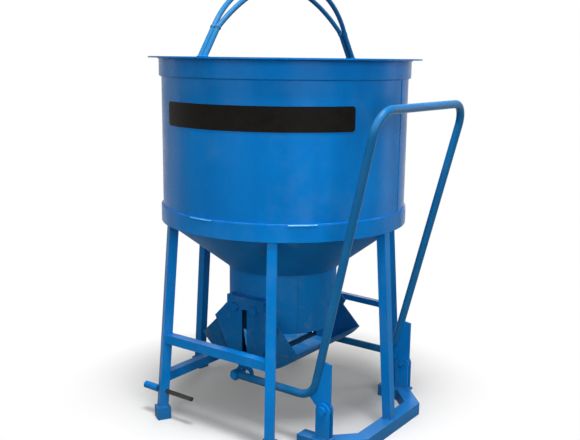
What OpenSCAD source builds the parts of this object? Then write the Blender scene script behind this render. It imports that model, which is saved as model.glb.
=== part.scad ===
// Concrete bucket: a round drum on six splayed legs, emptied through a clamshell gate.
// A U-shaped hand lever on the +X side lifts a crosshead at the front and the rear of the
// gate, and toggles between the crossheads and the jaws swing both jaws open together.
// +Z is up, Z is the drum's axis, and the feet stand on Z = 0. The front is the -Y side.

/* [Drum] */
// Outer diameter of the drum
drum_d = 1000; // [900:10:1100]
// Height of the throat's end above the ground
throat_end_z = 370; // [360:1:480]
// Height of the straight wall between cone and flange
drum_h = 647; // [560:1:700]
// Thickness of the drum, cone and throat plate
plate_t = 5; // [3:0.5:8]
// Width of the flange outside the wall
flange_w = 52; // [30:1:70]
// Thickness of the flange
flange_t = 6; // [4:0.5:10]
// Height of the band under the flange
upper_band_h = 69; // [40:1:100]
// Thickness of the band under the flange
upper_band_t = 10; // [5:0.5:14]
// Height of the band at the foot of the wall
lower_band_h = 64; // [40:1:100]
// Thickness of the band at the foot of the wall
lower_band_t = 8; // [5:0.5:12]
// How far the lower band reaches below the wall
lower_band_drop = 5; // [0:0.5:8]

/* [Cone and throat] */
// Height of the cone
cone_h = 207; // [180:1:230]
// Outer diameter of the throat
throat_d = 456; // [400:2:500]
// Length of the throat below the cone
throat_h = 240; // [210:1:250]

/* [Bail] */
// Diameter of the bail's rod
bail_rod_d = 20; // [16:1:24]
// Height of the hoops' middle above the rim, measured along the hoops
bail_h = 300; // [260:1:360]
// Height where each pair of posts ends and the hoops begin to part
bail_knuckle_h = 105; // [80:1:130]
// Lean of each hoop from upright, in degrees
bail_lean = 13; // [8:0.5:16]
// Gap between the two posts of a pair
bail_gap = 1; // [0.5:0.5:3]

/* [Legs] */
// Width of the square leg tube
leg_w = 37; // [32:1:50]
// Wall of the square tubes
tube_wall = 4; // [2:0.5:6]
// How far the legs' tops lie inside the drum's wall
leg_inset = 20; // [14:1:30]
// How far the feet spread beyond the legs' tops
leg_spread = 60; // [30:1:90]
// Direction of the front right leg in degrees to the right of the front
front_right_angle = 31.7; // [27:0.1:34]
// Direction of the front left leg in degrees to the left of the front
front_left_angle = 30; // [27:0.1:34]
// Direction of the left leg in degrees behind the left side's middle
left_leg_back = -6; // [-10:1:4]
// Direction of the rear left leg in degrees to the left of the rear
rear_left_angle = 30; // [26:1:34]
// Level gap between the rear right leg's foot and the lever's base
foot_clear = 55; // [25:1:70]
// Width of a foot block
foot_w = 55; // [52:1:70]
// Height of a foot block
foot_h = 50; // [40:1:70]
// Width of the front brace's and the side tube's square tube
brace_w = 37; // [28:1:37]
// Height of the front brace
brace_z = 343; // [300:1:380]
// Width of the rear brace's square tube
rear_brace_w = 26; // [20:1:40]
// Height of the rear brace
rear_brace_z = 375; // [340:1:400]
// Height of the side tube
side_tube_z = 178; // [150:1:230]
// Height of the rod through the front left leg
stop_rod_z = 118; // [100:1:126]
// Diameter of the rod through the front left leg
stop_rod_d = 18; // [12:1:20]
// Diameter of that rod's grip
stop_grip_d = 30; // [22:1:34]
// Length of that rod outside the leg on the grip's side
stop_grip_out = 86; // [60:1:110]
// Length of that rod outside the leg on its free side
stop_rod_out = 138; // [100:1:160]

/* [Gate] */
// Radius of the jaws' round pan
pan_r = 250; // [240:1:262]
// Thickness of the jaws' plates
jaw_t = 6; // [4:0.5:7]
// Distance of each jaw's pivot from the middle
pivot_x = 50; // [46:1:56]
// Height of the jaws' pivots above the throat's end
pivot_rise = 100; // [92:1:110]
// Gap between the closed jaws
jaw_gap = 2; // [1:0.5:4]
// Slope of the line from pivot to the pan's outer edge, in degrees below level
lip_angle = 38; // [34:1:42]
// Radius of the jaws' pivot bosses
boss_r = 28; // [24:1:32]
// Diameter of the jaws' pivot bolts
pivot_bolt_d = 24; // [16:1:28]
// Thickness of the hanger plates
hanger_t = 10; // [6:0.5:14]
// Width of the hanger's shelf
shelf_w = 184; // [170:2:196]
// Height of the hanger's top above the pivots
hanger_rise = 46; // [44:1:60]
// Height of the hanger's shoulder above the pivots
hanger_shoulder_rise = 12; // [6:1:20]
// Depth of the hanger's wing tip below the pivots
hanger_wing_drop = 56; // [48:1:66]
// How far the hanger's wing tip reaches beyond its shelf
hanger_wing_out = 66; // [58:1:74]
// Depth of the hanger's lower corner below the pivots
hanger_hip_drop = 186; // [178:1:192]
// Width of the hanger at its lower corners
hanger_hip_w = 176; // [160:1:184]
// Depth of the hanger's foot below the crosshead's pin
hanger_foot_drop = 32; // [30:1:38]
// Width of the hanger's foot
hanger_foot_w = 110; // [90:1:130]
// Depth of the slot's upper end below the pivots
slot_top_drop = 6; // [2:1:12]

/* [Gate linkage] */
// Diameter of the crosshead's pin
crosspin_d = 22; // [16:1:24]
// Height of the crosshead's pin below the pivots, gate closed
crosspin_drop = 199; // [194:1:204]
// Travel of the crosshead
crosshead_travel = 117; // [100:1:125]
// Distance from jaw pivot to the jaw's toggle pin
toggle_arm = 108; // [103:1:113]
// Direction of the jaw's toggle pin, in degrees below level
toggle_angle = 47; // [44:1:50]
// Diameter of the jaw's toggle pin
toggle_pin_d = 16; // [12:1:18]
// Play round the jaw's toggle pin
toggle_play = 6; // [5:0.5:7]
// Thickness of a toggle
toggle_t = 5; // [3:0.5:6]
// Radius of a toggle's ends
toggle_end_r = 22; // [21:0.5:25]
// Thickness of the crosshead's strap
strap_t = 10; // [6:0.5:14]
// Width of the crosshead's strap
strap_w = 40; // [36:1:46]

/* [Lever] */
// Diameter of the lever's tube
lever_d = 32; // [26:1:38]
// Wall of the lever's tube
lever_wall = 3; // [2:0.5:4]
// Distance of the lever's grip outside the drum's wall
handle_out = 141; // [120:1:160]
// Height of the lever's grip
handle_z = 1300; // [1150:5:1360]
// Lean of the lever's arms from upright, in degrees
lever_lean = 13.65; // [12:0.05:15]
// Splay of each arm outwards, in degrees
lever_splay = 1.6; // [0:0.1:3]
// Bend radius at the grip
grip_bend_r = 90; // [60:1:120]
// Bend radius at the foot of the arms
foot_bend_r = 80; // [60:1:90]
// Height of the inner arms below the crosshead's pins
arm_drop = 66; // [61:1:71]
// Height of the lever's pivot below its inner arms
lever_pivot_drop = 37; // [30:1:45]
// Distance from grip to lever pivot, level
lever_pivot_in = 211; // [205:1:217]
// Swing of the lever, in degrees
lever_swing = 16; // [12:0.5:16.5]
// Diameter of the lever's pins
lever_pin_d = 20; // [14:1:24]
// Thickness of the lever's side plates
lever_plate_t = 8; // [5:0.5:12]
// Thickness of the brackets' cheeks
bracket_t = 8; // [5:0.5:9]
// Width of the brackets
bracket_w = 60; // [52:1:70]
// Height of the lever's base tube
base_h = 50; // [40:1:60]
// Width of the lever's base tube
base_w = 58; // [48:1:66]
// Reach of the base tube's ends inwards from the lever's pivot
base_stub = 106; // [80:1:130]
// Distance of the base tube's corners from its ends' line
base_corner_in = 110; // [90:1:130]

/* [Hidden] */
$fn = 96;
paint = [0.04, 0.36, 0.68];
dark_steel = [0.10, 0.10, 0.10];

// Gaps: welded curved faces, running fits, between flat layers, round a sliding pin
weld_gap = 0.05;
running_gap = 0.06;
layer_gap = 2;
thin_gap = 1;
slide_gap = 0.5;

drum_r = drum_d / 2;
throat_top_z = throat_end_z + throat_h;
cone_top_z = throat_top_z + cone_h;
rim_z = cone_top_z + drum_h + flange_t;
throat_r = throat_d / 2;
// Level thickness of the cone's sloping plate
cone_t = plate_t * sqrt(cone_h * cone_h + (drum_r - throat_r) * (drum_r - throat_r)) / cone_h;

// The bail's hoops follow one arc from the rim's wall over bail_h. Below the knuckles the arc's
// chord stands as a straight post, and above them the hoops lean apart.
bail_sink = (drum_r * drum_r - bail_h * bail_h) / (2 * bail_h);
bail_r = bail_h + bail_sink;
bail_foot_x = bail_rod_d / 2 + bail_gap / 2;
bail_knuckle_y = sqrt(bail_r * bail_r - (bail_sink + bail_knuckle_h) * (bail_sink + bail_knuckle_h));
bail_start = asin((bail_sink + bail_knuckle_h) / bail_r);
bail_tilt = atan((drum_r - bail_knuckle_y) / bail_knuckle_h);
bail_post_len = norm([drum_r - bail_knuckle_y, bail_knuckle_h]);
bail_knuckle_r = bail_rod_d / 2 + 2.5;

// Splay and radius are the same for all legs.
leg_top_r = drum_r - leg_inset;
leg_end_z = cone_top_z - lower_band_drop;
leg_foot_r = leg_top_r + leg_spread;
leg_splay = atan(leg_spread / leg_end_z);
function leg_r(z) = leg_foot_r - leg_spread * z / leg_end_z;

// Layers of the gate, outwards from the throat along Y
cheek_y = throat_r + layer_gap;
toggle_right_y = cheek_y + jaw_t + layer_gap;
toggle_left_y = toggle_right_y + toggle_t + thin_gap;
hanger_y = toggle_left_y + toggle_t + layer_gap;
strap_y = hanger_y + hanger_t + 5;
crosspin_end_y = strap_y + strap_t + 8;
arm_y = crosspin_end_y + 10 + lever_d / 2;

// Leg k stands at leg_angles[k], counted from the front towards the lever: front right, right,
// rear right, rear left, left, front left. The rear right foot clears the lever's base.
rear_right_foot_y = arm_y + base_w / 2 + foot_clear + foot_w / sqrt(2);
leg_angles = [front_right_angle, 90, 180 - acos(rear_right_foot_y / leg_foot_r), 180 + rear_left_angle,
    270 + left_leg_back, 360 - front_left_angle];
function leg_angle(k) = leg_angles[k];
function leg_x(k, z) = leg_r(z) * sin(leg_angle(k));
function leg_y(k, z) = -leg_r(z) * cos(leg_angle(k));

pivot_z = throat_end_z + pivot_rise;
crosspin_z = pivot_z - crosspin_drop;
// The pan's inner edge is a vertical cut beside the gate's middle
inner_angle = 90 + asin((pivot_x - jaw_gap / 2) / pan_r);
hanger_z = pivot_z + hanger_rise;
shelf_t = 10;
slot_top_z = pivot_z - slot_top_drop;

// Toggle pin on the right jaw, and the toggle's length and direction from the crosspin
jaw_pin_x = pivot_x + toggle_arm * cos(toggle_angle);
jaw_pin_z = pivot_z - toggle_arm * sin(toggle_angle);
toggle_len = norm([jaw_pin_x, jaw_pin_z - crosspin_z]);
toggle_dir = atan2(jaw_pin_z - crosspin_z, jaw_pin_x);
toggle_w = 30;

arm_z = crosspin_z - arm_drop;
handle_x = drum_r + handle_out;
lever_pivot_x = handle_x - lever_pivot_in;
lever_pivot_z = arm_z - lever_pivot_drop;
// Each arm lies in a plane tipped outwards by lever_splay about its inner arm. The grip's plane
// leans by grip_lean, and the arms meet it grip_splay off its middle line.
bend_rise = foot_bend_r * (1 - sin(lever_lean));
grip_lean = atan(tan(lever_lean) / cos(lever_splay));
grip_splay = asin(cos(lever_lean) * sin(lever_splay));
grip_rise = grip_bend_r * (1 + sin(grip_splay));
arm_len = (handle_z - arm_z - bend_rise * cos(lever_splay) - grip_rise * cos(grip_lean))
    / (cos(lever_lean) * cos(lever_splay));
bend_x = handle_x - foot_bend_r * cos(lever_lean) - arm_len * sin(lever_lean) - grip_rise * sin(grip_lean);
arm_end_x = bend_x + foot_bend_r * cos(lever_lean);
arm_end_z = arm_z + bend_rise;
// Where the arms' tops meet the grip
arm_rise = bend_rise + arm_len * cos(lever_lean);
arm_top = [arm_end_x + arm_len * sin(lever_lean), arm_y + arm_rise * sin(lever_splay),
    arm_z + arm_rise * cos(lever_splay)];
eye_r = 22;
eye_w = lever_d - 2;
// The eye's way in X over the swing, which the crosshead's yoke takes up in its slot
eye_reach = norm([lever_pivot_x, lever_pivot_drop]);
eye_rest = atan2(lever_pivot_drop, -lever_pivot_x);
eye_run = lever_pivot_x + eye_reach * cos(eye_rest - lever_swing);
yoke_play = 3;
yoke_rim = 15;
yoke_r = lever_pin_d / 2 + yoke_play;

bracket_inner_y = arm_y - lever_plate_t / 2 - 4;
bracket_outer_y = arm_y + lever_plate_t / 2 + 4;
bracket_foot_t = 8;
base_bar_x = leg_r(base_h);
base_stub_x = lever_pivot_x - base_stub;
base_corner_y = arm_y - base_corner_in;

// Helpers: a ring, a shape of the XZ plane given thickness along +Y, a rod along +Y
module ring(r_in, r_out, z, h) {
    translate([0, 0, z]) rotate_extrude() translate([r_in, 0]) square([r_out - r_in, h]);
}
module plate_xz(y, t) {
    translate([0, y + t, 0]) rotate([90, 0, 0]) linear_extrude(t) children();
}
module rod_y(x, z, r, y, len) {
    translate([x, y + len, z]) rotate([90, 0, 0]) cylinder(r = r, h = len);
}
// Everything of the gate and lever is drawn at the rear and on the right, and mirrored
module at_front() { mirror([0, 1, 0]) children(); }
module at_left() { mirror([1, 0, 0]) children(); }

// Drum and hopper
module drum_shell() {
    color(paint) ring(drum_r - plate_t, drum_r, cone_top_z, drum_h);
}
module rim_flange() {
    color(paint) ring(drum_r - plate_t, drum_r + flange_w, rim_z - flange_t, flange_t);
}
module upper_band() {
    color(paint) ring(drum_r + weld_gap, drum_r + upper_band_t, rim_z - flange_t - upper_band_h, upper_band_h);
}
module lower_band() {
    color(paint) ring(drum_r + weld_gap, drum_r + lower_band_t, leg_end_z, lower_band_h);
}
module cone_solid(r_in) {
    translate([0, 0, throat_top_z]) cylinder(r1 = throat_r - r_in, r2 = drum_r - r_in, h = cone_h);
}
module cone() {
    color(paint) translate([0, 0, throat_top_z]) rotate_extrude() polygon([
        [throat_r - cone_t, 0], [throat_r, 0], [drum_r, cone_h], [drum_r - cone_t, cone_h]]);
}
module throat() {
    color(paint) ring(throat_r - plate_t, throat_r, throat_end_z, throat_h);
}

// Bail: a pair of posts at either end, and two hoops that lean apart from the posts' knuckles
module bail_arc(r) {
    translate([bail_foot_x, 0, rim_z + bail_knuckle_h]) rotate([0, bail_lean, 0])
        translate([0, 0, -bail_sink - bail_knuckle_h]) rotate([90, 0, 90]) rotate([0, 0, bail_start])
            rotate_extrude(angle = 180 - 2 * bail_start, $fn = 240) translate([bail_r, 0]) circle(r = r, $fn = 32);
}
module bail_hoop_right() { color(paint) bail_arc(bail_rod_d / 2); }
module bail_hoop_left() { at_left() bail_hoop_right(); }
module bail_post() {
    translate([bail_foot_x, bail_knuckle_y, rim_z + bail_knuckle_h]) {
        sphere(r = bail_knuckle_r);
        rotate([180 + bail_tilt, 0, 0]) cylinder(d = bail_rod_d, h = bail_post_len + bail_rod_d);
    }
}
module bail_posts_rear() {
    color(paint) difference() {
        union() {
            bail_post();
            at_left() bail_post();
        }
        translate([-drum_r, 0, rim_z - drum_r]) cube([drum_d, drum_d, drum_r]);
        bail_arc(bail_rod_d / 2 + weld_gap);
        at_left() bail_arc(bail_rod_d / 2 + weld_gap);
    }
}
module bail_posts_front() { at_front() bail_posts_rear(); }

// Legs: a splayed square tube from foot_z up to the cone and the lower band
module leg_core(k, w, over) {
    rotate([0, 0, leg_angle(k) - 90]) translate([leg_foot_r, 0, 0]) rotate([0, -leg_splay, 0])
        translate([-w / 2, -w / 2, -over]) cube([w, w, leg_end_z / cos(leg_splay) + 2 * over]);
}
module leg(k, foot_z) {
    color(paint) difference() {
        intersection() {
            difference() {
                leg_core(k, leg_w, leg_w);
                leg_core(k, leg_w - 2 * tube_wall, 2 * leg_w);
            }
            translate([-drum_d, -drum_d, foot_z]) cube([2 * drum_d, 2 * drum_d, leg_end_z - foot_z]);
        }
        cone_solid(-weld_gap);
    }
}
module foot(k) {
    color(paint) rotate([0, 0, leg_angle(k) - 90]) translate([leg_r(foot_h) - foot_w / 2, -foot_w / 2, 0])
        cube([foot_w, foot_w, foot_h]);
}
module leg_front_right() { leg(0, foot_h); }
module leg_right() { leg(1, base_h); }
module leg_rear_right() { leg(2, foot_h); }
module leg_rear_left() { leg(3, foot_h); }
module leg_left() { leg(4, foot_h); }
module leg_front_left() {
    difference() {
        leg(5, foot_h);
        stop_rod_core(stop_rod_d / 2 + weld_gap);
    }
}
module foot_front_right() { foot(0); }
module foot_rear_right() { foot(2); }
module foot_rear_left() { foot(3); }
module foot_left() { foot(4); }
module foot_front_left() { foot(5); }

// Braces: square tube between two legs, cut to the legs' faces
module square_tube(len, w) {
    difference() {
        translate([-len / 2, -w / 2, -w / 2]) cube([len, w, w]);
        translate([-len, -w / 2 + tube_wall, -w / 2 + tube_wall])
            cube([2 * len, w - 2 * tube_wall, w - 2 * tube_wall]);
    }
}
module brace(a, b, z, w) {
    p = [leg_x(a, z), leg_y(a, z)];
    q = [leg_x(b, z), leg_y(b, z)];
    color(paint) difference() {
        translate([(p[0] + q[0]) / 2, (p[1] + q[1]) / 2, z]) rotate([0, 0, atan2(q[1] - p[1], q[0] - p[0])])
            square_tube(norm(q - p), w);
        leg_core(a, leg_w, leg_w);
        leg_core(b, leg_w, leg_w);
    }
}
module brace_front() { brace(5, 0, brace_z, brace_w); }
module brace_rear() { brace(3, 2, rear_brace_z, rear_brace_w); }
module side_tube() { brace(5, 3, side_tube_z, brace_w); }

// Rod through the foot of the front left leg, with a grip on its outer end
stop_rod_x0 = leg_x(5, stop_rod_z) - leg_w / 2 - stop_grip_out;
stop_rod_x1 = leg_x(5, stop_rod_z) + leg_w / 2 + stop_rod_out;
module stop_rod_core(r) {
    translate([stop_rod_x0, leg_y(5, stop_rod_z), stop_rod_z]) rotate([0, 90, 0])
        cylinder(r = r, h = stop_rod_x1 - stop_rod_x0);
}
module stop_rod() { color(dark_steel) stop_rod_core(stop_rod_d / 2); }
module stop_grip() {
    color(paint) difference() {
        translate([stop_rod_x0 + 2, leg_y(5, stop_rod_z), stop_rod_z]) rotate([0, 90, 0])
            cylinder(d = stop_grip_d, h = stop_grip_out - 14);
        stop_rod_core(stop_rod_d / 2 + weld_gap);
    }
}

// Lever base: a tube laid on the ground in a C, with the right leg on its back
function mitre(a, b, c, half) =
    let (u = (b - a) / norm(b - a), v = (c - b) / norm(c - b), n = [-u[1], u[0]], m = [-v[1], v[0]])
    b + (n + m) * half / (1 + n * m);
module lever_base() {
    line = [[base_stub_x, -arm_y], [lever_pivot_x, -arm_y], [base_bar_x, -base_corner_y],
        [base_bar_x, base_corner_y], [lever_pivot_x, arm_y], [base_stub_x, arm_y]];
    half = base_w / 2;
    inner = [for (i = [1:4]) mitre(line[i - 1], line[i], line[i + 1], half)];
    outer = [for (i = [4:-1:1]) mitre(line[i - 1], line[i], line[i + 1], -half)];
    color(paint) linear_extrude(base_h) polygon(concat(
        [line[0] + [0, half]], inner, [line[5] - [0, half], line[5] + [0, half]], outer,
        [line[0] - [0, half]]));
}
module bracket_rear() {
    color(paint) difference() {
        union() {
            translate([lever_pivot_x - bracket_w / 2 - 8, bracket_inner_y - bracket_t - 4, base_h])
                cube([bracket_w + 16, bracket_outer_y - bracket_inner_y + 2 * bracket_t + 8, bracket_foot_t]);
            for (y = [bracket_inner_y - bracket_t, bracket_outer_y]) {
                translate([lever_pivot_x - bracket_w / 2, y, base_h])
                    cube([bracket_w, bracket_t, lever_pivot_z - base_h]);
                rod_y(lever_pivot_x, lever_pivot_z, bracket_w / 2, y, bracket_t);
            }
        }
        rod_y(lever_pivot_x, lever_pivot_z, lever_pin_d / 2 + weld_gap, 0, 2 * arm_y);
    }
}
module bracket_front() { at_front() bracket_rear(); }
module lever_pin() {
    color(dark_steel) {
        rod_y(lever_pivot_x, lever_pivot_z, lever_pin_d / 2, bracket_inner_y - bracket_t - 8,
            bracket_outer_y - bracket_inner_y + 2 * bracket_t + 8);
        rod_y(lever_pivot_x, lever_pivot_z, lever_pin_d * 0.8, bracket_outer_y + bracket_t, 10);
    }
}
module lever_pins() {
    lever_pin();
    at_front() lever_pin();
}

// Hanger: plate outside the toggles, with a shelf that joins it to the throat
module hanger_outline() {
    half_top = shelf_w / 2;
    side = [[half_top, hanger_z], [half_top, pivot_z + hanger_shoulder_rise],
        [half_top + hanger_wing_out, pivot_z - hanger_wing_drop],
        [hanger_hip_w / 2, pivot_z - hanger_hip_drop],
        [hanger_foot_w / 2, crosspin_z - hanger_foot_drop]];
    polygon(concat(side, [for (i = [len(side) - 1:-1:0]) [-side[i][0], side[i][1]]]));
}
module hanger_rear() {
    slot_r = crosspin_d / 2 + slide_gap;
    color(paint) difference() {
        union() {
            plate_xz(hanger_y, hanger_t) hanger_outline();
            translate([-shelf_w / 2, 0, hanger_z - shelf_t]) cube([shelf_w, hanger_y + hanger_t, shelf_t]);
        }
        translate([0, 0, hanger_z - 2 * shelf_t]) cylinder(r = throat_r + weld_gap, h = 3 * shelf_t);
        for (x = [-pivot_x, pivot_x])
            rod_y(x, pivot_z, pivot_bolt_d / 2 + weld_gap, 0, hanger_y + 2 * hanger_t);
        rod_y(0, crosspin_z - slide_gap, slot_r, hanger_y - 1, hanger_t + 2);
        rod_y(0, slot_top_z - slot_r, slot_r, hanger_y - 1, hanger_t + 2);
        translate([-slot_r, hanger_y - 1, crosspin_z - slide_gap])
            cube([2 * slot_r, hanger_t + 2, slot_top_z - slot_r - crosspin_z + slide_gap]);
    }
}
module hanger_front() { at_front() hanger_rear(); }

// Shoulder bolt that carries one jaw cheek on the hanger
module jaw_pivot_bolt(x) {
    color(dark_steel) {
        rod_y(x, pivot_z, pivot_bolt_d / 2, cheek_y, hanger_y + hanger_t - cheek_y);
        rod_y(x, pivot_z, pivot_bolt_d / 2 + 5, cheek_y + jaw_t + slide_gap, hanger_y - cheek_y - jaw_t - slide_gap);
        translate([x, hanger_y + hanger_t + 12, pivot_z]) rotate([90, 0, 0])
            cylinder(r = pivot_bolt_d * 0.8, h = 12, $fn = 6);
    }
}
module jaw_pivot_bolts() {
    for (x = [-pivot_x, pivot_x]) {
        jaw_pivot_bolt(x);
        at_front() jaw_pivot_bolt(x);
    }
}

// Jaw: two sector cheeks and a round pan between them. The right jaw is drawn, and the left
// one mirrored. Angles are counted from +X towards +Z.
module jaw_cheek(pin_y) {
    far = 2 * pan_r;
    touch = acos(boss_r / pan_r) - lip_angle;
    color(paint) difference() {
        union() {
            rod_y(pivot_x, pivot_z, boss_r, cheek_y, jaw_t);
            translate([pivot_x, 0, pivot_z]) plate_xz(cheek_y, jaw_t) polygon([[0, 0],
                pan_r * [cos(lip_angle), -sin(lip_angle)], boss_r * [cos(touch), sin(touch)]]);
            intersection() {
                rod_y(pivot_x, pivot_z, pan_r, cheek_y, jaw_t);
                translate([pivot_x, 0, pivot_z]) plate_xz(cheek_y, jaw_t) polygon([[0, 0],
                    far * [cos(inner_angle), -sin(inner_angle)], far * [0, -1],
                    far * [cos(lip_angle), -sin(lip_angle)]]);
            }
            rod_y(jaw_pin_x, jaw_pin_z, toggle_pin_d / 2, cheek_y, pin_y - cheek_y);
        }
        rod_y(pivot_x, pivot_z, pivot_bolt_d / 2 + running_gap, cheek_y - 1, jaw_t + 2);
    }
}
module jaw_pan() {
    color(paint) translate([pivot_x, 0, pivot_z]) rotate([90, 0, 0]) rotate([0, 0, -inner_angle])
        rotate_extrude(angle = inner_angle - lip_angle) translate([pan_r - jaw_t, -cheek_y])
            square([jaw_t, 2 * cheek_y]);
}
module jaw_right_cheek_rear() { jaw_cheek(toggle_right_y + toggle_t + thin_gap / 2); }
module jaw_right_cheek_front() { at_front() jaw_right_cheek_rear(); }
module jaw_right_pan() { jaw_pan(); }
module jaw_left_cheek_rear() { at_left() jaw_cheek(toggle_left_y + toggle_t + thin_gap / 2); }
module jaw_left_cheek_front() { at_front() jaw_left_cheek_rear(); }
module jaw_left_pan() { at_left() jaw_pan(); }

// Toggle: a strap from the crosshead's pin to a jaw's pin, with play round the jaw's pin
module toggle(y) {
    color(paint) translate([0, 0, crosspin_z]) rotate([0, -toggle_dir, 0]) difference() {
        union() {
            rod_y(0, 0, toggle_end_r, y, toggle_t);
            rod_y(toggle_len, 0, toggle_end_r, y, toggle_t);
            translate([0, y, -toggle_w / 2]) cube([toggle_len, toggle_t, toggle_w]);
        }
        rod_y(0, 0, crosspin_d / 2 + running_gap, y - 1, toggle_t + 2);
        rod_y(toggle_len, 0, toggle_pin_d / 2 + toggle_play, y - 1, toggle_t + 2);
    }
}
module toggle_right_rear() { toggle(toggle_right_y); }
module toggle_right_front() { at_front() toggle_right_rear(); }
module toggle_left_rear() { at_left() toggle(toggle_left_y); }
module toggle_left_front() { at_front() toggle_left_rear(); }

// Crosshead: a strap from the crosspin down to a yoke, whose level slot the lever's pin works in
module crosshead_rear() {
    color(paint) difference() {
        union() {
            rod_y(0, crosspin_z, strap_w / 2, strap_y, strap_t);
            translate([-strap_w / 2, strap_y, arm_z]) cube([strap_w, strap_t, arm_drop]);
            for (x = [0, eye_run]) rod_y(x, arm_z, yoke_r + yoke_rim, strap_y, strap_t);
            translate([0, strap_y, arm_z - yoke_r - yoke_rim])
                cube([eye_run, strap_t, 2 * (yoke_r + yoke_rim)]);
        }
        rod_y(0, crosspin_z, crosspin_d / 2 + weld_gap, strap_y - 1, strap_t + 2);
        for (x = [0, eye_run]) rod_y(x, arm_z, yoke_r, strap_y - 1, strap_t + 2);
        translate([0, strap_y - 1, arm_z - yoke_r]) cube([eye_run, strap_t + 2, 2 * yoke_r]);
    }
}
module crosshead_front() { at_front() crosshead_rear(); }
module crosspin_rear() {
    color(dark_steel) {
        rod_y(0, crosspin_z, crosspin_d / 2, toggle_right_y - thin_gap, strap_y + strap_t - toggle_right_y + thin_gap);
        rod_y(0, crosspin_z, crosspin_d * 0.8, strap_y + strap_t, crosspin_end_y - strap_y - strap_t);
    }
}
module crosspin_front() { at_front() crosspin_rear(); }

// Lever: one bent tube in a U, made as a grip and two arms
module tube_ring(wall) {
    difference() {
        circle(d = lever_d, $fn = 64);
        if (wall > 0) circle(d = lever_d - 2 * wall, $fn = 64);
    }
}
module tube_bend(r, angle, wall) {
    rotate_extrude(angle = angle) translate([r, 0]) tube_ring(wall);
}
module lever_grip() {
    bend_y = round(100 * (arm_top[1] - grip_bend_r * cos(grip_splay))) / 100;
    color(paint) translate([arm_top[0], 0, arm_top[2]]) rotate([0, grip_lean, 0])
        translate([0, 0, grip_bend_r * sin(grip_splay)]) {
            for (s = [0, 1]) mirror([0, s, 0]) translate([0, bend_y, 0]) rotate([0, -90, 0])
                tube_bend(grip_bend_r, 90 + grip_splay, lever_wall);
            translate([0, bend_y, grip_bend_r]) rotate([90, 0, 0]) linear_extrude(2 * bend_y) tube_ring(lever_wall);
        }
}
// The bare runs of an arm: the straight up to the grip, and the elbow with the inner arm
module splayed() {
    translate([0, arm_y, arm_z]) rotate([-lever_splay, 0, 0]) translate([0, 0, -arm_z]) children();
}
module arm_straight(wall) {
    splayed() translate([arm_end_x, 0, arm_end_z]) rotate([0, lever_lean, 0]) linear_extrude(arm_len)
        tube_ring(wall);
}
module arm_elbow(wall) {
    splayed() {
        translate([eye_r - 4, 0, arm_z]) rotate([0, 90, 0]) linear_extrude(bend_x - eye_r + 4) tube_ring(wall);
        translate([bend_x, 0, arm_z + foot_bend_r]) rotate([90, 0, 0]) rotate([0, 0, -90])
            tube_bend(foot_bend_r, 90 - lever_lean, wall);
    }
}
module lever_arm_rear() { color(paint) arm_straight(lever_wall); }
module lever_arm_front() { at_front() lever_arm_rear(); }
module lever_elbow_rear() {
    color(paint) difference() {
        union() {
            arm_elbow(lever_wall);
            rod_y(0, arm_z, eye_r, arm_y - eye_w / 2, eye_w);
        }
        rod_y(0, arm_z, lever_pin_d / 2 + weld_gap, arm_y - lever_d, 2 * lever_d);
    }
}
module lever_elbow_front() { at_front() lever_elbow_rear(); }
module lever_plate_rear() {
    top = [arm_end_x, arm_end_z] + 95 * [sin(lever_lean), cos(lever_lean)];
    plate_r = bracket_w / 2 - 2;
    bend_mid = [bend_x, arm_z + foot_bend_r] + foot_bend_r * [0.5, -0.866];
    color(paint) difference() {
        union() {
            rod_y(lever_pivot_x, lever_pivot_z, plate_r, arm_y - lever_plate_t / 2, lever_plate_t);
            plate_xz(arm_y - lever_plate_t / 2, lever_plate_t) polygon([top, top + [46, -6],
                [lever_pivot_x + plate_r, lever_pivot_z], [lever_pivot_x - plate_r, lever_pivot_z], bend_mid,
                [arm_end_x, arm_end_z]]);
        }
        arm_straight(0);
        arm_elbow(0);
        rod_y(lever_pivot_x, lever_pivot_z, lever_pin_d / 2 + running_gap, arm_y - lever_plate_t, 2 * lever_plate_t);
    }
}
module lever_plate_front() { at_front() lever_plate_rear(); }
module lever_end_pin() {
    color(dark_steel) {
        rod_y(0, arm_z, lever_pin_d / 2, strap_y - 3, arm_y + eye_w / 2 - strap_y + 3);
        rod_y(0, arm_z, lever_pin_d * 0.8, arm_y + eye_w / 2, 8);
    }
}
module lever_end_pins() {
    lever_end_pin();
    at_front() lever_end_pin();
}

drum_shell();
rim_flange();
upper_band();
lower_band();
cone();
throat();
bail_hoop_left();
bail_hoop_right();
bail_posts_front();
bail_posts_rear();
leg_front_right();
leg_right();
leg_rear_right();
leg_rear_left();
leg_left();
leg_front_left();
foot_front_right();
foot_rear_right();
foot_rear_left();
foot_left();
foot_front_left();
brace_front();
brace_rear();
side_tube();
stop_rod();
stop_grip();
lever_base();
bracket_front();
bracket_rear();
lever_pins();
hanger_front();
hanger_rear();
jaw_pivot_bolts();
jaw_right_cheek_front();
jaw_right_cheek_rear();
jaw_right_pan();
jaw_left_cheek_front();
jaw_left_cheek_rear();
jaw_left_pan();
toggle_right_front();
toggle_right_rear();
toggle_left_front();
toggle_left_rear();
crosshead_front();
crosshead_rear();
crosspin_front();
crosspin_rear();
lever_grip();
lever_arm_front();
lever_arm_rear();
lever_elbow_front();
lever_elbow_rear();
lever_plate_front();
lever_plate_rear();
lever_end_pins();
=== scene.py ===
import math

import bpy
from mathutils import Matrix, Vector


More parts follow.
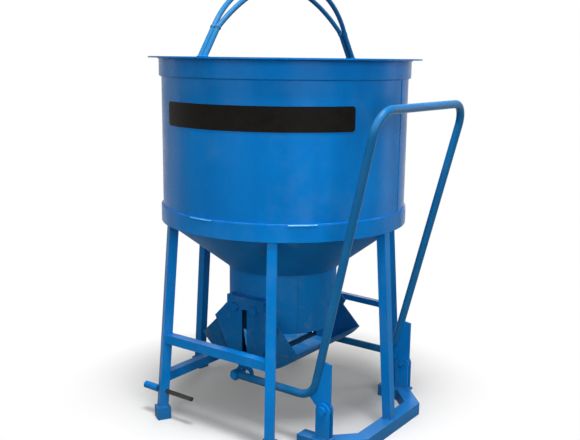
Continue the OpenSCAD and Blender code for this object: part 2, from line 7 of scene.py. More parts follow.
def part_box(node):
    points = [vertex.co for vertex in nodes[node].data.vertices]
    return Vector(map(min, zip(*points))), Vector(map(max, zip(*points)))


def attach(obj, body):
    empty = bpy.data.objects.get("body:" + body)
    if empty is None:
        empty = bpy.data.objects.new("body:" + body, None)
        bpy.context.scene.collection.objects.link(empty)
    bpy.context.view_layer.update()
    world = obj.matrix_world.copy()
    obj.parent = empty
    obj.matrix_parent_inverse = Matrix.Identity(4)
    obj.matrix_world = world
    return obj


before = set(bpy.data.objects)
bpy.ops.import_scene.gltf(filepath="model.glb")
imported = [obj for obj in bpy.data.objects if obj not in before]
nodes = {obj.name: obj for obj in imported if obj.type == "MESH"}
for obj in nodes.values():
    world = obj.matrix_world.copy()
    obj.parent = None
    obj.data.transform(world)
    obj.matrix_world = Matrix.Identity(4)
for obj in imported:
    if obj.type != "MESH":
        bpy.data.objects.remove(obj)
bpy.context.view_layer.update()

scene = bpy.context.scene


# Node helpers
def new_mat(name):
    m = bpy.data.materials.new(name)
    m.use_nodes = True
    m.node_tree.nodes.clear()
    return m, m.node_tree.nodes, m.node_tree.links


def add(ns, kind, **inputs):
    n = ns.new(kind)
    for k, v in inputs.items():
        n.inputs[k.replace("_", " ")].default_value = v
    return n


def ramp(ns, ls, src, lo, hi, a=0.0, b=1.0):
    n = ns.new("ShaderNodeMapRange")
    n.inputs["From Min"].default_value = lo
    n.inputs["From Max"].default_value = hi
    n.inputs["To Min"].default_value = a
    n.inputs["To Max"].default_value = b
    ls.new(src, n.inputs["Value"])
    return n.outputs["Result"]


def math_node(ns, ls, op, a, b):
    n = ns.new("ShaderNodeMath")
    n.operation = op
    for i, v in enumerate((a, b)):
        if isinstance(v, (int, float)):
            n.inputs[i].default_value = v
        else:
            ls.new(v, n.inputs[i])
    return n.outputs[0]


def mix_col(ns, ls, fac, a, b, blend="MIX"):
    n = ns.new("ShaderNodeMix")
    n.data_type = "RGBA"
    n.blend_type = blend
    if isinstance(fac, (int, float)):
        n.inputs[0].default_value = fac
    else:
        ls.new(fac, n.inputs[0])
    for i, v in ((6, a), (7, b)):
        if isinstance(v, tuple):
            n.inputs[i].default_value = v
        else:
            ls.new(v, n.inputs[i])
    return n.outputs[2]


def noise(ns, ls, vec, scale, detail=3.0, rough=0.55, stretch=None, distort=0.0):
    if stretch:
        mp = ns.new("ShaderNodeMapping")
        mp.inputs["Scale"].default_value = stretch
        ls.new(vec, mp.inputs["Vector"])
        vec = mp.outputs["Vector"]
    n = add(ns, "ShaderNodeTexNoise", Scale=scale, Detail=detail, Roughness=rough, Distortion=distort)
    ls.new(vec, n.inputs["Vector"])
    return n.outputs["Fac"]


def times(ns, ls, a, b):
    return math_node(ns, ls, "MULTIPLY", a, b)


def plus(ns, ls, a, b):
    return math_node(ns, ls, "ADD", a, b)


def xyz(ns, ls, vec):
    n = ns.new("ShaderNodeSeparateXYZ")
    ls.new(vec, n.inputs[0])
    return n.outputs


def dot(ns, ls, a, b):
    n = ns.new("ShaderNodeVectorMath")
    n.operation = "DOT_PRODUCT"
    ls.new(a, n.inputs[0])
    ls.new(b, n.inputs[1])
    return n.outputs["Value"]


def scaled(base, k):
    return tuple(c * k for c in base) + (1.0,)


def surface(ns, ls, col, rough, bump=None, sheen=0.5, metal=0.0):
    """Close a material with its colour, roughness and bump."""
    bs = ns.new("ShaderNodeBsdfPrincipled")
    bs.inputs["Metallic"].default_value = metal
    bs.inputs["Specular IOR Level"].default_value = sheen
    ls.new(col, bs.inputs["Base Color"])
    ls.new(rough, bs.inputs["Roughness"])
    if bump:
        ls.new(bump.outputs["Normal"], bs.inputs["Normal"])
    out = ns.new("ShaderNodeOutputMaterial")
    ls.new(bs.outputs[0], out.inputs["Surface"])


# Layers of paint, dirt and painted shade: tex holds the textures that they share, coat what they have made so
# far
def enamel(ns, ls, tex, base, dull):
    """The paint itself: uneven colour and gloss, runs, pale dust on top and chips along the edges."""
    vec, cloud = tex["vec"], tex["cloud"]
    lite = (base[0] * 1.2, base[1] * 1.08, min(1.0, base[2] * 1.05), 1.0)
    streak = (base[0], base[1] * 0.72, base[2] * 0.74, 1.0)
    broad = noise(ns, ls, vec, 2.6, 4.0)
    runs = noise(ns, ls, vec, 1.0, 4.0, 0.6, (13.0, 13.0, 0.9))
    col = mix_col(ns, ls, ramp(ns, ls, broad, 0.3, 0.7), scaled(base, 0.84), lite)
    col = mix_col(ns, ls, ramp(ns, ls, runs, 0.44, 0.66, 0.0, 0.30), col, streak)
    upward = ramp(ns, ls, xyz(ns, ls, tex["normal"])["Z"], -0.3, 1.0, 0.02, 0.22)
    dust = times(ns, ls, ramp(ns, ls, cloud, 0.50, 0.72), upward)
    col = mix_col(ns, ls, dust, col, (0.22, 0.31, 0.40, 1.0))
    bevel = add(ns, "ShaderNodeBevel", Radius=0.004)
    bevel.samples = 4
    edge = ramp(ns, ls, dot(ns, ls, bevel.outputs["Normal"], tex["normal"]), 0.97, 0.80)
    chip = times(ns, ls, edge, ramp(ns, ls, noise(ns, ls, vec, 38.0, 4.0, 0.7), 0.54, 0.60))
    # Bevelled edges a little paler: a painted highlight.
    col = mix_col(ns, ls, times(ns, ls, edge, 0.22), col, lite)
    col = mix_col(ns, ls, times(ns, ls, chip, 0.70), col, (0.026, 0.034, 0.040, 1.0))
    gloss = ramp(ns, ls, cloud, 0.25, 0.75, 0.20 + dull, 0.38 + dull)
    return {"col": col,
            "rough": plus(ns, ls, gloss, times(ns, ls, chip, 0.3)),
            "height": plus(ns, ls, times(ns, ls, tex["fine"], 0.12), times(ns, ls, cloud, 0.9))}


def cement_splash(ns, ls, tex, coat, amount):
    """Dried splashes of cement, in a thin grey film."""
    spots = noise(ns, ls, tex["vec"], 21.0, 6.0, 0.72, None, 0.6)
    patch = noise(ns, ls, tex["vec"], 4.2, 3.0, 0.6)
    mask = times(ns, ls, ramp(ns, ls, spots, 0.54, 0.64), ramp(ns, ls, patch, 0.40, 0.66))
    mask = times(ns, ls, mask, amount)
    film = times(ns, ls, ramp(ns, ls, patch, 0.35, 0.75), 0.20 * amount)
    grey = mix_col(ns, ls, tex["fine"], (0.13, 0.17, 0.17, 1.0), (0.24, 0.27, 0.25, 1.0))
    coat["col"] = mix_col(ns, ls, film, coat["col"], (0.10, 0.17, 0.24, 1.0))
    coat["col"] = mix_col(ns, ls, mask, coat["col"], grey)
    coat["rough"] = plus(ns, ls, coat["rough"], times(ns, ls, mask, 0.5))
    coat["height"] = plus(ns, ls, coat["height"], times(ns, ls, mask, 1.4))


def paint_shade_in_slot(ns, ls, tex, coat, reach, ragged, top):
    """Painted shade in the hanger's slot and on the jaws seen through it: near black up to that reach from
    the gate's middle, and below that height.
    """
    place = xyz(ns, ls, tex["place"])
    off = math_node(ns, ls, "ABSOLUTE", place["X"], 0.0)
    off = plus(ns, ls, off, times(ns, ls, tex["cloud"], ragged))
    shade_mask = ramp(ns, ls, off, reach, reach * 0.9, 0.0, 0.95)
    shade_mask = times(ns, ls, shade_mask, ramp(ns, ls, place["Z"], top + 0.001, top))
    coat["col"] = mix_col(ns, ls, shade_mask, coat["col"], (0.0015, 0.0080, 0.0190, 1.0))
    coat["rough"] = plus(ns, ls, coat["rough"], times(ns, ls, shade_mask, 0.4))


def floor_dirt(ns, ls, tex, coat, amount):
    """Splashed dirt near the floor."""
    low = ramp(ns, ls, xyz(ns, ls, tex["place"])["Z"], 0.17, 0.0)
    low = plus(ns, ls, low, times(ns, ls, tex["cloud"], 0.5))
    soil = times(ns, ls, ramp(ns, ls, low, 0.55, 1.15), amount)
    mud = mix_col(ns, ls, tex["fine"], (0.016, 0.050, 0.060, 1.0), (0.050, 0.095, 0.100, 1.0))
    coat["col"] = mix_col(ns, ls, soil, coat["col"], mud)
    coat["rough"] = plus(ns, ls, coat["rough"], times(ns, ls, soil, 0.4))


def inner_film(ns, ls, tex, coat):
    """A dried film of cement on the faces that look at the axis."""
    flat = ns.new("ShaderNodeVectorMath")
    flat.operation = "MULTIPLY"
    ls.new(tex["place"], flat.inputs[0])
    flat.inputs[1].default_value = (1.0, 1.0, 0.0)
    facing = ramp(ns, ls, dot(ns, ls, flat.outputs["Vector"], tex["normal"]), -0.02, -0.06)
    patch = ramp(ns, ls, noise(ns, ls, tex["vec"], 5.5, 6.0, 0.68), 0.36, 0.66, 0.10, 0.62)
    film = times(ns, ls, facing, patch)
    grey = mix_col(ns, ls, tex["fine"], (0.15, 0.17, 0.17, 1.0), (0.26, 0.27, 0.26, 1.0))
    coat["col"] = mix_col(ns, ls, film, coat["col"], grey)
    coat["rough"] = plus(ns, ls, coat["rough"], times(ns, ls, film, 0.5))
    coat["height"] = plus(ns, ls, coat["height"], times(ns, ls, film, 0.9))


def paint(name, base, splash=0.0, dull=0.0, seed=(0.0, 0.0, 0.0), inside=False, sheen=0.06,
          ground=0.0, slot_shade=None):
    """Brushed and sprayed enamel, with the layers of dirt and the painted slot shade that are asked for."""
    m, ns, ls = new_mat(name)
    place = ns.new("ShaderNodeTexCoord").outputs["Object"]
    shift = add(ns, "ShaderNodeMapping", Location=seed)
    ls.new(place, shift.inputs["Vector"])
    vec = shift.outputs["Vector"]
    tex = {"vec": vec,
           "place": place,
           "normal": ns.new("ShaderNodeNewGeometry").outputs["Normal"],
           "cloud": noise(ns, ls, vec, 8.0, 5.0, 0.62),
           "fine": noise(ns, ls, vec, 95.0, 3.0, 0.6)}
    coat = enamel(ns, ls, tex, base, dull)
    if splash > 0.0:
        cement_splash(ns, ls, tex, coat, splash)
    if slot_shade:
        paint_shade_in_slot(ns, ls, tex, coat, *slot_shade)
    if ground > 0.0:
        floor_dirt(ns, ls, tex, coat, ground)
    if inside:
        inner_film(ns, ls, tex, coat)
    bump = add(ns, "ShaderNodeBump", Strength=0.30, Distance=0.0016)
    ls.new(coat["height"], bump.inputs["Height"])
    surface(ns, ls, coat["col"], coat["rough"], bump, sheen)
    return m


def steel(name, base, rough0, rough1, metal, grime=0.5, sheen=0.5):
    """Dark, greased or bare steel with scuffs and grime."""
    m, ns, ls = new_mat(name)
    vec = ns.new("ShaderNodeTexCoord").outputs["Object"]
    cloud = noise(ns, ls, vec, 26.0, 5.0, 0.65)
    fine = noise(ns, ls, vec, 210.0, 3.0, 0.6)
    col = mix_col(ns, ls, ramp(ns, ls, cloud, 0.3, 0.7), scaled(base, 0.6), scaled(base, 1.5))
    col = mix_col(ns, ls, ramp(ns, ls, fine, 0.52, 0.70, 0.0, grime), col, (0.05, 0.035, 0.025, 1.0))
    bump = add(ns, "ShaderNodeBump", Strength=0.25, Distance=0.0006)
    ls.new(fine, bump.inputs["Height"])
    surface(ns, ls, col, ramp(ns, ls, cloud, 0.3, 0.7, rough0, rough1), bump, sheen, metal)
    return m


BLUE = (0.0014, 0.168, 0.550)
SLOT_TOP_Z = 0.464
body_paint = paint("body_paint", BLUE)
drum_paint = paint("drum_paint", BLUE, seed=(0.6, 2.3, 1.1), inside=True)
leg_paint = paint("leg_paint", (0.0018, 0.178, 0.570), dull=0.05, seed=(3.1, 1.7, 0.4), ground=0.34)
lever_paint = paint("lever_paint", (0.0050, 0.125, 0.340), dull=0.02, seed=(5.2, 0.9, 6.6), sheen=0.08,
                    ground=0.40)
# The jaws are near black about the gate's middle, below the slot's top: painted shade seen through the
# hanger's slot.
gate_paint = paint("gate_paint", (0.0030, 0.118, 0.345), 0.85, 0.18, (7.3, 2.2, 5.1), sheen=0.04,
                   slot_shade=(0.030, 0.012, SLOT_TOP_Z))
# The hanger is near black in and round its slot: painted shade.
hanger_paint = paint("hanger_paint", (0.0018, 0.125, 0.400), 0.20, 0.12, (4.4, 6.1, 3.2), sheen=0.04,
                     slot_shade=(0.0128, 0.0, SLOT_TOP_Z))
bail_paint = paint("bail_paint", (0.0120, 0.125, 0.300), dull=0.10, seed=(6.6, 4.2, 0.8))
yoke_paint = paint("yoke_paint", (0.0018, 0.140, 0.450), 0.20, 0.12, (2.8, 3.1, 7.7), sheen=0.04)
hopper_paint = paint("hopper_paint", (0.0018, 0.160, 0.490), 0.22, 0.26, (1.9, 8.4, 2.6), True, 0.05)
pin_steel = steel("pin_steel", (0.055, 0.058, 0.062), 0.32, 0.55, 0.85)
black_rod = steel("black_rod", (0.012, 0.012, 0.011), 0.40, 0.62, 0.2, 0.35)
plate_black = steel("plate_black", (0.0055, 0.0052, 0.0050), 0.46, 0.60, 0.0, 0.10, 0.05)

LOOK = {"stop_rod": black_rod, "jaw_pivot_bolts": yoke_paint, "throat": hopper_paint, "cone": hopper_paint,
        "drum_shell": drum_paint}
for name, obj in nodes.items():
    m = LOOK.get(name)
    if m is None:
        if name.startswith(("jaw_", "toggle_")):
            m = gate_paint
        elif name.startswith("bail_"):
            m = bail_paint
        elif name.startswith("hanger"):
            m = hanger_paint
        elif name.startswith("cross"):
            m = yoke_paint
        elif name.startswith(("lever_grip", "lever_arm", "lever_elbow")):
            m = lever_paint
        elif name.startswith(("leg_", "foot_", "brace_", "side_", "stop_", "lever_", "bracket_")):
            m = leg_paint
        else:
            m = body_paint
    obj.data.materials.clear()
    obj.data.materials.append(m)

# Softened edges on plate and tube
SOFT = {"leg_": 0.0030, "foot_": 0.0035, "brace_": 0.0030, "side_": 0.0030, "lever_base": 0.0050,
        "bracket_": 0.0015, "lever_plate": 0.0012, "hanger": 0.0014, "jaw_": 0.0010, "toggle": 0.0008,
        "crosshead": 0.0014, "rim_flange": 0.0010, "upper_band": 0.0018, "lower_band": 0.0018}
for name, obj in nodes.items():
    for key, w in SOFT.items():
        if name.startswith(key):
            b = obj.modifiers.new("soft_edge", "BEVEL")
            b.width = w
            b.segments = 2
            b.limit_method = "ANGLE"
            b.angle_limit = math.radians(40)
            b.harden_normals = False
            break


def piece(name, verts, faces, material, body, smooth=True):
    me = bpy.data.meshes.new(name)
    me.from_pydata([tuple(v) for v in verts], [], faces)
    me.update()
    ob = bpy.data.objects.new(name, me)
    scene.collection.objects.link(ob)
    me.materials.append(material)
    if smooth:
        for p in me.polygons:
            p.use_smooth = True
    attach(ob, body)
    return ob


def wobble(i, k=1.0):
    return 0.5 + 0.25 * math.sin(1.7 * i * k) + 0.25 * math.sin(0.61 * i * k + 1.3)


def tube(points, radius, closed=False, sides=8, bead=0.0):
    """Round run along a line of points, with a bead's ripples if wanted."""
    n = len(points)
    pts = [Vector(p) for p in points]
    verts, faces = [], []
    up = None
    for i in range(n):
        a = pts[(i - 1) % n] if closed or i > 0 else pts[i]
        b = pts[(i + 1) % n] if closed or i < n - 1 else pts[i]
        t = (b - a).normalized()
        if up is None:
            ref = Vector((0, 0, 1)) if abs(t.z) < 0.9 else Vector((1, 0, 0))
            up = (ref - t * ref.dot(t)).normalized()
        else:
            up = (up - t * up.dot(t)).normalized()
        side = t.cross(up)
        r = radius * (1.0 - bead + bead * 2 * wobble(i))
        for j in range(sides):
            a2 = 2 * math.pi * j / sides
            verts.append(pts[i] + up * (r * math.cos(a2)) + side * (r * math.sin(a2)))
    rings = n if closed else n - 1
    for i in range(rings):
        for j in range(sides):
            here = i * sides
            ahead = (i + 1) % n * sides
            beside = (j + 1) % sides
            faces.append((here + j, here + beside, ahead + beside, ahead + j))
    if not closed:
        faces.append(tuple(range(sides))[::-1])
        faces.append(tuple((n - 1) * sides + j for j in range(sides)))
    return verts, faces


def join(parts):
    verts, faces = [], []
    for v, f in parts:
        o = len(verts)
        verts += list(v)
        faces += [tuple(i + o for i in q) for q in f]
    return verts, faces


def line(a, b, step=0.004):
    a, b = Vector(a), Vector(b)
    n = max(2, int((b - a).length / step) + 1)
    return [a.lerp(b, i / (n - 1)) for i in range(n)]


def poly(points, step=0.004, closed=True):
    out = []
    m = len(points)
    for i in range(m if closed else m - 1):
        seg = line(points[i], points[(i + 1) % m], step)
        out += seg[:-1]
    if not closed:
        out.append(Vector(points[-1]))
    return out


def around(r, angle, z):
    """A point at that radius and at that angle from the front, toward the lever."""
    a = math.radians(angle)
    return (r * math.sin(a), -r * math.cos(a), z)


def ring(r, z, n=420, a0=0.0, a1=360.0):
    closed = a1 - a0 > 359.9
    cnt = n if closed else n + 1
    return [around(r, a0 + (a1 - a0) * i / n, z) for i in range(cnt)]


def weld(name, runs, radius, material, body, closed=True):
    parts = [tube(r, radius, closed, 6, 0.22) for r in runs]
    v, f = join(parts)
    ob = piece(name, v, f, material, body)
    return ob


def box_of(name):
    lo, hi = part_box(name)
    return Vector(lo), Vector(hi)


# Bare black plate wrapped round the front of the drum
def sign_plate():
    r0, r1 = 0.5003, 0.5022
    a0, a1, z0, z1, rc = -25.5, 67.0, 1.2100, 1.3015, 0.013
    s0, s1 = math.radians(a0) * r1, math.radians(a1) * r1
    cols = []
    for i in range(7):
        cols.append(s0 + rc * (1 - math.cos(math.pi / 2 * i / 6)))
    n = 110
    for i in range(1, n):
        cols.append(s0 + rc + (s1 - s0 - 2 * rc) * i / n)
    for i in range(6, -1, -1):
        cols.append(s1 - rc * (1 - math.cos(math.pi / 2 * i / 6)))
    verts, faces = [], []
    for s in cols:
        d = min(s - s0, s1 - s)
        drop = 0.0
        if d < rc:
            drop = rc - math.sqrt(max(0.0, rc * rc - (rc - d) ** 2))
        a = s / r1
        for r in (r1, r0):
            for z in (z0 + drop, z1 - drop):
                verts.append((r * math.sin(a), -r * math.cos(a), z))
    m = len(cols)
    for i in range(m - 1):
        p, q = 4 * i, 4 * (i + 1)
        faces.append((p, q, q + 1, p + 1))
        faces.append((p + 1, q + 1, q + 3, p + 3))
        faces.append((p + 2, q + 2, q, p))
        faces.append((p + 3, q + 3, q + 2, p + 2))
    faces.append((0, 1, 3, 2))
    e = 4 * (m - 1)
    faces.append((e, e + 2, e + 3, e + 1))
    ob = piece("sign_plate", verts, faces, plate_black, "bucket", smooth=False)


sign_plate()

# Weld beads of the drum and hopper
rim_lo, rim_hi = box_of("rim_flange")
low_lo, low_hi = box_of("lower_band")
up_lo, up_hi = box_of("upper_band")
thr_lo, thr_hi = box_of("throat")
weld("weld_lower_band", [ring(0.5012, low_hi.z + 0.0008)], 0.0030, body_paint, "bucket")
weld("weld_upper_band", [ring(0.5012, up_lo.z - 0.0008)], 0.0030, body_paint, "bucket")
weld("weld_flange", [ring(0.5108, rim_lo.z - 0.0012), ring(0.4952, rim_lo.z - 0.004)],
     0.0032, body_paint, "bucket")
weld("weld_throat", [ring(0.2284, thr_hi.z)], 0.0040, hopper_paint, "bucket")


def painted_glint(name, low, high):
    """Pale enamel strip that paints in a glint of light, uneven along its length."""
    m, ns, ls = new_mat(name)
    tc = ns.new("ShaderNodeTexCoord")
    glint_tone = noise(ns, ls, tc.outputs["Object"], 60.0, 4.0, 0.6)
    col = mix_col(ns, ls, ramp(ns, ls, glint_tone, 0.35, 0.65), low, high)
    surface(ns, ls, col, ramp(ns, ls, glint_tone, 0.3, 0.7, 0.24, 0.40))
    return m


# Painted glints: pale strips along the lower band's upper edge
glint_mat = painted_glint("glint_edge", (0.055, 0.32, 0.66, 1.0), (0.12, 0.42, 0.78, 1.0))
for i, (a0, a1) in enumerate(((-7.2, 4.6), (38.2, 50.4))):
    v, f = tube(ring(0.5076, low_hi.z - 0.0006, 60, a0, a1), 0.0030 if i else 0.0022, False, 8)
    piece("glint_strip_%d" % (i + 1), v, f, glint_mat, "bucket")

# Upright seams of the rolled drum and throat
DRUM_R, DRUM_SEAM = 0.5, 100.0
THROAT_R, THROAT_SEAM = 0.228, 52.0
weld("weld_drum_seam", [line(around(DRUM_R, DRUM_SEAM, low_hi.z + 0.002),
                             around(DRUM_R, DRUM_SEAM, up_lo.z - 0.002), 0.003)],
     0.0026, body_paint, "bucket", False)
weld("weld_throat_seam", [line(around(THROAT_R, THROAT_SEAM, thr_hi.z - 0.004),
                               around(THROAT_R, THROAT_SEAM, thr_lo.z + 0.002), 0.003)],
     0.0022, hopper_paint, "bucket", False)

# Weld beads of the under-frame
LEGS = {"front_right": 31.7, "right": 90.0, "rear_right": 143.29,
        "rear_left": 210.0, "left": 264.0, "front_left": 330.0}
LEG_HALF = 0.0185
LEG_GROUND_R, LEG_LEAN, LEG_TOP_Z = 0.540, 0.060, 0.812
FOOT_H = 0.050


def leg_axis(angle, z):
    return Vector(around(LEG_GROUND_R - LEG_LEAN * z / LEG_TOP_Z, angle, z))


def outward(angle):
    """Level directions away from the drum's axis and round it."""
    a = math.radians(angle)
    return Vector((math.sin(a), -math.cos(a), 0.0)), Vector((math.cos(a), math.sin(a), 0.0))


def square_run(centre, angle, half, z):
    """Corners of a level square of that half width, turned to face the drum's axis."""
    out_v, side_v = outward(angle)
    c = Vector((centre.x, centre.y, z))
    return [c + out_v * (half * i) + side_v * (half * j) for i, j in ((1, 1), (1, -1), (-1, -1), (-1, 1))]


def leg_top_run(angle, half, inner):
    """Three sides of a leg's top, left open toward the drum."""
    out_v, side_v = outward(angle)
    top = leg_axis(angle, LEG_TOP_Z - 0.0008)
    return poly([top - out_v * inner + side_v * half, top + out_v * half + side_v * half,
                 top + out_v * half - side_v * half, top - out_v * inner - side_v * half], 0.004, False)


for key, ang in LEGS.items():
    foot = square_run(leg_axis(ang, FOOT_H), ang, LEG_HALF + 0.0003, FOOT_H + 0.0012)
    weld("weld_foot_" + key, [poly(foot)], 0.0028, leg_paint, "bucket")
    top = leg_top_run(ang, LEG_HALF + 0.0001, 0.004)
    weld("weld_leg_top_" + key, [top], 0.0028, leg_paint, "bucket", False)


def face_distance(lat, along, angle):
    """Distance along a brace from its leg's axis to the leg's square face, for a run beside the axis."""
    sides = outward(angle)
    reach = LEG_HALF + 0.001
    best = None
    for u in sides:
        k = along.dot(u)
        if abs(k) > 0.05:
            for face in (LEG_HALF, -LEG_HALF):
                d = (face - lat.dot(u)) / k
                hit = lat + along * d
                if d > 0 and all(abs(hit.dot(v)) < reach for v in sides):
                    best = d if best is None else max(best, d)
    return best or LEG_HALF


def brace_welds(name, leg_a, leg_b, z, w):
    ends = (LEGS[leg_a], LEGS[leg_b])
    p, q = leg_axis(ends[0], z), leg_axis(ends[1], z)
    d = (q - p).normalized()
    n = Vector((0, 0, 1)).cross(d)
    h = w / 2
    runs = []
    for c, along, ang in ((p, d, ends[0]), (q, -d, ends[1])):
        pts = []
        for i, j in ((1, 1), (1, -1), (-1, -1), (-1, 1)):
            lat = n * (h * i)
            pts.append(c + lat + Vector((0, 0, h * j)) + along * (face_distance(lat, along, ang) + 0.0006))
        runs.append(poly(pts))
    weld(name, runs, 0.0026, leg_paint, "bucket")


brace_welds("weld_brace_front", "front_left", "front_right", 0.343, 0.037)
brace_welds("weld_brace_rear", "rear_left", "rear_right", 0.375, 0.026)
brace_welds("weld_side_tube", "front_left", "rear_left", 0.178, 0.037)


def bail_run(x, y, z):
    """A closed run round the foot of one of the bail's bars."""
    steps = 40
    turns = [2 * math.pi * i / steps for i in range(steps)]
    return [(x + 0.0108 * math.cos(t), y + 0.0128 * math.sin(t), z) for t in turns]


BAIL_HALF_GAP = 0.0105
SHELF_HALF = 0.092
for side, name in ((-1, "front"), (1, "rear")):
    lo, hi = box_of("bracket_" + name)
    z = lo.z + 0.0006
    weld("weld_bracket_" + name, [poly([(lo.x, lo.y, z), (hi.x, lo.y, z), (hi.x, hi.y, z), (lo.x, hi.y, z)])],
         0.0026, leg_paint, "bucket")
    runs = [bail_run(x, side * DRUM_R, rim_hi.z + 0.001) for x in (-BAIL_HALF_GAP, BAIL_HALF_GAP)]
    weld("weld_bail_" + name, runs, 0.0026, body_paint, "bucket")
    # shelf of the hanger on the throat
    shelf_z = box_of("hanger_" + name)[1].z
    half = math.degrees(math.asin(SHELF_HALF / 0.2285))
    mid = 0.0 if side < 0 else 180.0
    runs = [ring(0.2288, shelf_z - drop, 60, mid - half, mid + half) for drop in (0.0, 0.010)]
    weld("weld_shelf_" + name, runs, 0.0026, yoke_paint, "bucket", False)


# Split pins at the inner ends of the lever's pins
def split_pin(centre, along, across):
    """A bent wire through a pin's end: eye on one side, legs on the other."""
    c, ax = Vector(centre), Vector(across).normalized()
    al = Vector(along).normalized()
    side_v = ax.cross(al)
    wire, eye_r = 0.0011, 0.0035
    legs = []
    for s in (-1, 1):
        path = [c + ax * t + side_v * (0.0012 * s) for t in (-0.013, 0.0, 0.013)]
        legs.append(tube(path + [c + ax * 0.017 + side_v * (0.005 * s)], wire, False, 6))
    turns = [2 * math.pi * i / 16 for i in range(16)]
    eye = [c - ax * 0.0165 + ax * (eye_r * math.cos(t)) + side_v * (eye_r * math.sin(t)) for t in turns]
    return join(legs + [tube(eye, wire, True, 6)])


LEVER_PIVOT_X, LEVER_PIVOT_Z = 0.430, 0.168
for side, name in ((-1, "front"), (1, "rear")):
    lo, hi = box_of("bracket_" + name)
    inner = lo.y if side > 0 else hi.y
    v, f = split_pin((LEVER_PIVOT_X, inner - side * 0.0005, LEVER_PIVOT_Z), (0, 1, 0), (0.5, 0, 1))
    ob = piece("split_pin_" + name, v, f, pin_steel, "bucket")

# Camera: fitted to the photograph
PHOTO_W_PX, FOCAL_PX, SENSOR_W = 580.0, 820.0, 36.0
VIEW_BEARING, VIEW_PITCH, VIEW_ROLL = 36.0, 11.2, 0.7
VIEW_DISTANCE, VIEW_SHIFT, VIEW_HEIGHT = 3.4, 0.02695, 1.47
cam_data = bpy.data.cameras.new("camera")
cam_data.sensor_width = SENSOR_W
cam_data.lens = FOCAL_PX / PHOTO_W_PX * SENSOR_W
cam = bpy.data.objects.new("camera", cam_data)
scene.collection.objects.link(cam)
scene.camera = cam
az = math.radians(VIEW_BEARING)
to_cam = Vector((math.sin(az), -math.cos(az), 0.0))
right = Vector((math.cos(az), math.sin(az), 0.0))
pitch = math.radians(VIEW_PITCH)
fwd = -to_cam * math.cos(pitch) + Vector((0, 0, -math.sin(pitch)))
upv = right.cross(fwd)
roll = math.radians(VIEW_ROLL)
r2 = right * math.cos(roll) + upv * math.sin(roll)
u2 = upv * math.cos(roll) - right * math.sin(roll)
rot = Matrix((r2, u2, -fwd)).transposed()
pos = to_cam * VIEW_DISTANCE + right * VIEW_SHIFT + Vector((0, 0, VIEW_HEIGHT))
cam.matrix_world = Matrix.Translation(pos) @ rot.to_4x4()
cam_data.clip_end = 100.0
cam_data.dof.use_dof = False


def shown(ns, ls, path):
    """1 on rays that look at a thing, straight, mirrored or through glass, and 0 on rays of light."""
    mirror = math_node(ns, ls, "MAXIMUM", path.outputs["Is Glossy Ray"], path.outputs["Is Transmission Ray"])
    return math_node(ns, ls, "MAXIMUM", path.outputs["Is Camera Ray"], mirror)


# Studio: a white floor that keeps the shadow, white surroundings, soft lamps
floor_me = bpy.data.meshes.new("floor")
FLOOR_HALF, FLOOR_Z = 30, -0.0005
floor_corners = [(FLOOR_HALF * i, FLOOR_HALF * j, FLOOR_Z) for i, j in ((-1, -1), (1, -1), (1, 1), (-1, 1))]
floor_me.from_pydata(floor_corners, [], [(0, 1, 2, 3)])
floor = bpy.data.objects.new("floor", floor_me)
scene.collection.objects.link(floor)
fm, ns, ls = new_mat("floor_white")
tc = ns.new("ShaderNodeTexCoord")
length = ns.new("ShaderNodeVectorMath")
length.operation = "LENGTH"
ls.new(tc.outputs["Object"], length.inputs[0])
# From 0.46 m out the floor glows white by its own emission, fully at 1.02 m: painted light, so the grey floor
# and its shadow fade to white round the bucket.
far = ramp(ns, ls, length.outputs["Value"], 0.46, 1.02)
lp = ns.new("ShaderNodeLightPath")
looked = shown(ns, ls, lp)
seen = math_node(ns, ls, "MULTIPLY", far, looked)
diff = add(ns, "ShaderNodeBsdfDiffuse")
grain = noise(ns, ls, tc.outputs["Object"], 3.0, 3.0)
seen_col = mix_col(ns, ls, grain, (0.66, 0.66, 0.67, 1.0), (0.70, 0.70, 0.71, 1.0))
ls.new(mix_col(ns, ls, looked, (0.22, 0.20, 0.14, 1.0), seen_col), diff.inputs["Color"])
glow = add(ns, "ShaderNodeEmission", Color=(1, 1, 1, 1), Strength=1.0)
mixs = ns.new("ShaderNodeMixShader")
ls.new(seen, mixs.inputs[0])
ls.new(diff.outputs[0], mixs.inputs[1])
ls.new(glow.outputs[0], mixs.inputs[2])
out = ns.new("ShaderNodeOutputMaterial")
ls.new(mixs.outputs[0], out.inputs["Surface"])
floor_me.materials.append(fm)

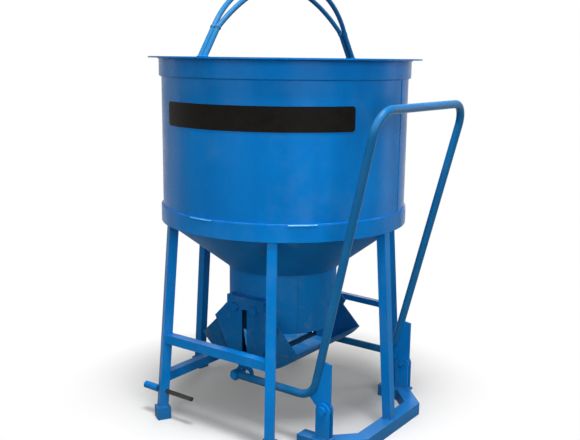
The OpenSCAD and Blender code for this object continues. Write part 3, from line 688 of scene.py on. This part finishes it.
world = bpy.data.worlds.new("studio")
scene.world = world
world.use_nodes = True
wn, wl = world.node_tree.nodes, world.node_tree.links
wn.clear()
lpw = wn.new("ShaderNodeLightPath")
bg_seen = wn.new("ShaderNodeBackground")
bg_seen.inputs["Color"].default_value = (1, 1, 1, 1)
bg_seen.inputs["Strength"].default_value = 1.0
bg_lit = wn.new("ShaderNodeBackground")
bg_lit.inputs["Color"].default_value = (1.0, 0.97, 0.80, 1)
bg_lit.inputs["Strength"].default_value = 0.24
mw = wn.new("ShaderNodeMixShader")
wl.new(shown(wn, wl, lpw), mw.inputs[0])
wl.new(bg_lit.outputs[0], mw.inputs[1])
wl.new(bg_seen.outputs[0], mw.inputs[2])
wo = wn.new("ShaderNodeOutputWorld")
wl.new(mw.outputs[0], wo.inputs["Surface"])


def lamp(name, loc, target, size, size_y, power, color=(1, 1, 1)):
    d = bpy.data.lights.new(name, "AREA")
    d.shape = "RECTANGLE"
    d.size = size
    d.size_y = size_y
    d.energy = power
    d.color = color
    ob = bpy.data.objects.new(name, d)
    scene.collection.objects.link(ob)
    ob.location = loc
    ob.rotation_euler = (Vector(target) - Vector(loc)).to_track_quat("-Z", "Y").to_euler()
    return ob


def from_view(a, dist, z):
    """A place at that angle right of the camera's bearing, seen from above."""
    t = math.radians(VIEW_BEARING + a)
    return (dist * math.sin(t), -dist * math.cos(t), z)


lamp("key", from_view(20, 4.8, 2.5), (0, 0, 1.0), 2.6, 2.2, 118)
lamp("fill", from_view(-44, 5.0, 2.0), (0, 0, 1.0), 2.2, 2.4, 46)
lamp("top", from_view(6, 1.15, 4.5), (0, 0, 0.5), 1.3, 1.3, 230)
lamp("edge_right", from_view(104, 4.2, 1.6), (0, 0, 1.1), 0.9, 3.0, 22)
lamp("back", from_view(176, 5.0, 2.4), (0, 0, 0.9), 2.4, 2.0, 55)
lamp("edge_left", from_view(-112, 4.2, 1.6), (0, 0, 1.1), 0.8, 3.0, 9)

scene.view_settings.view_transform = "Standard"
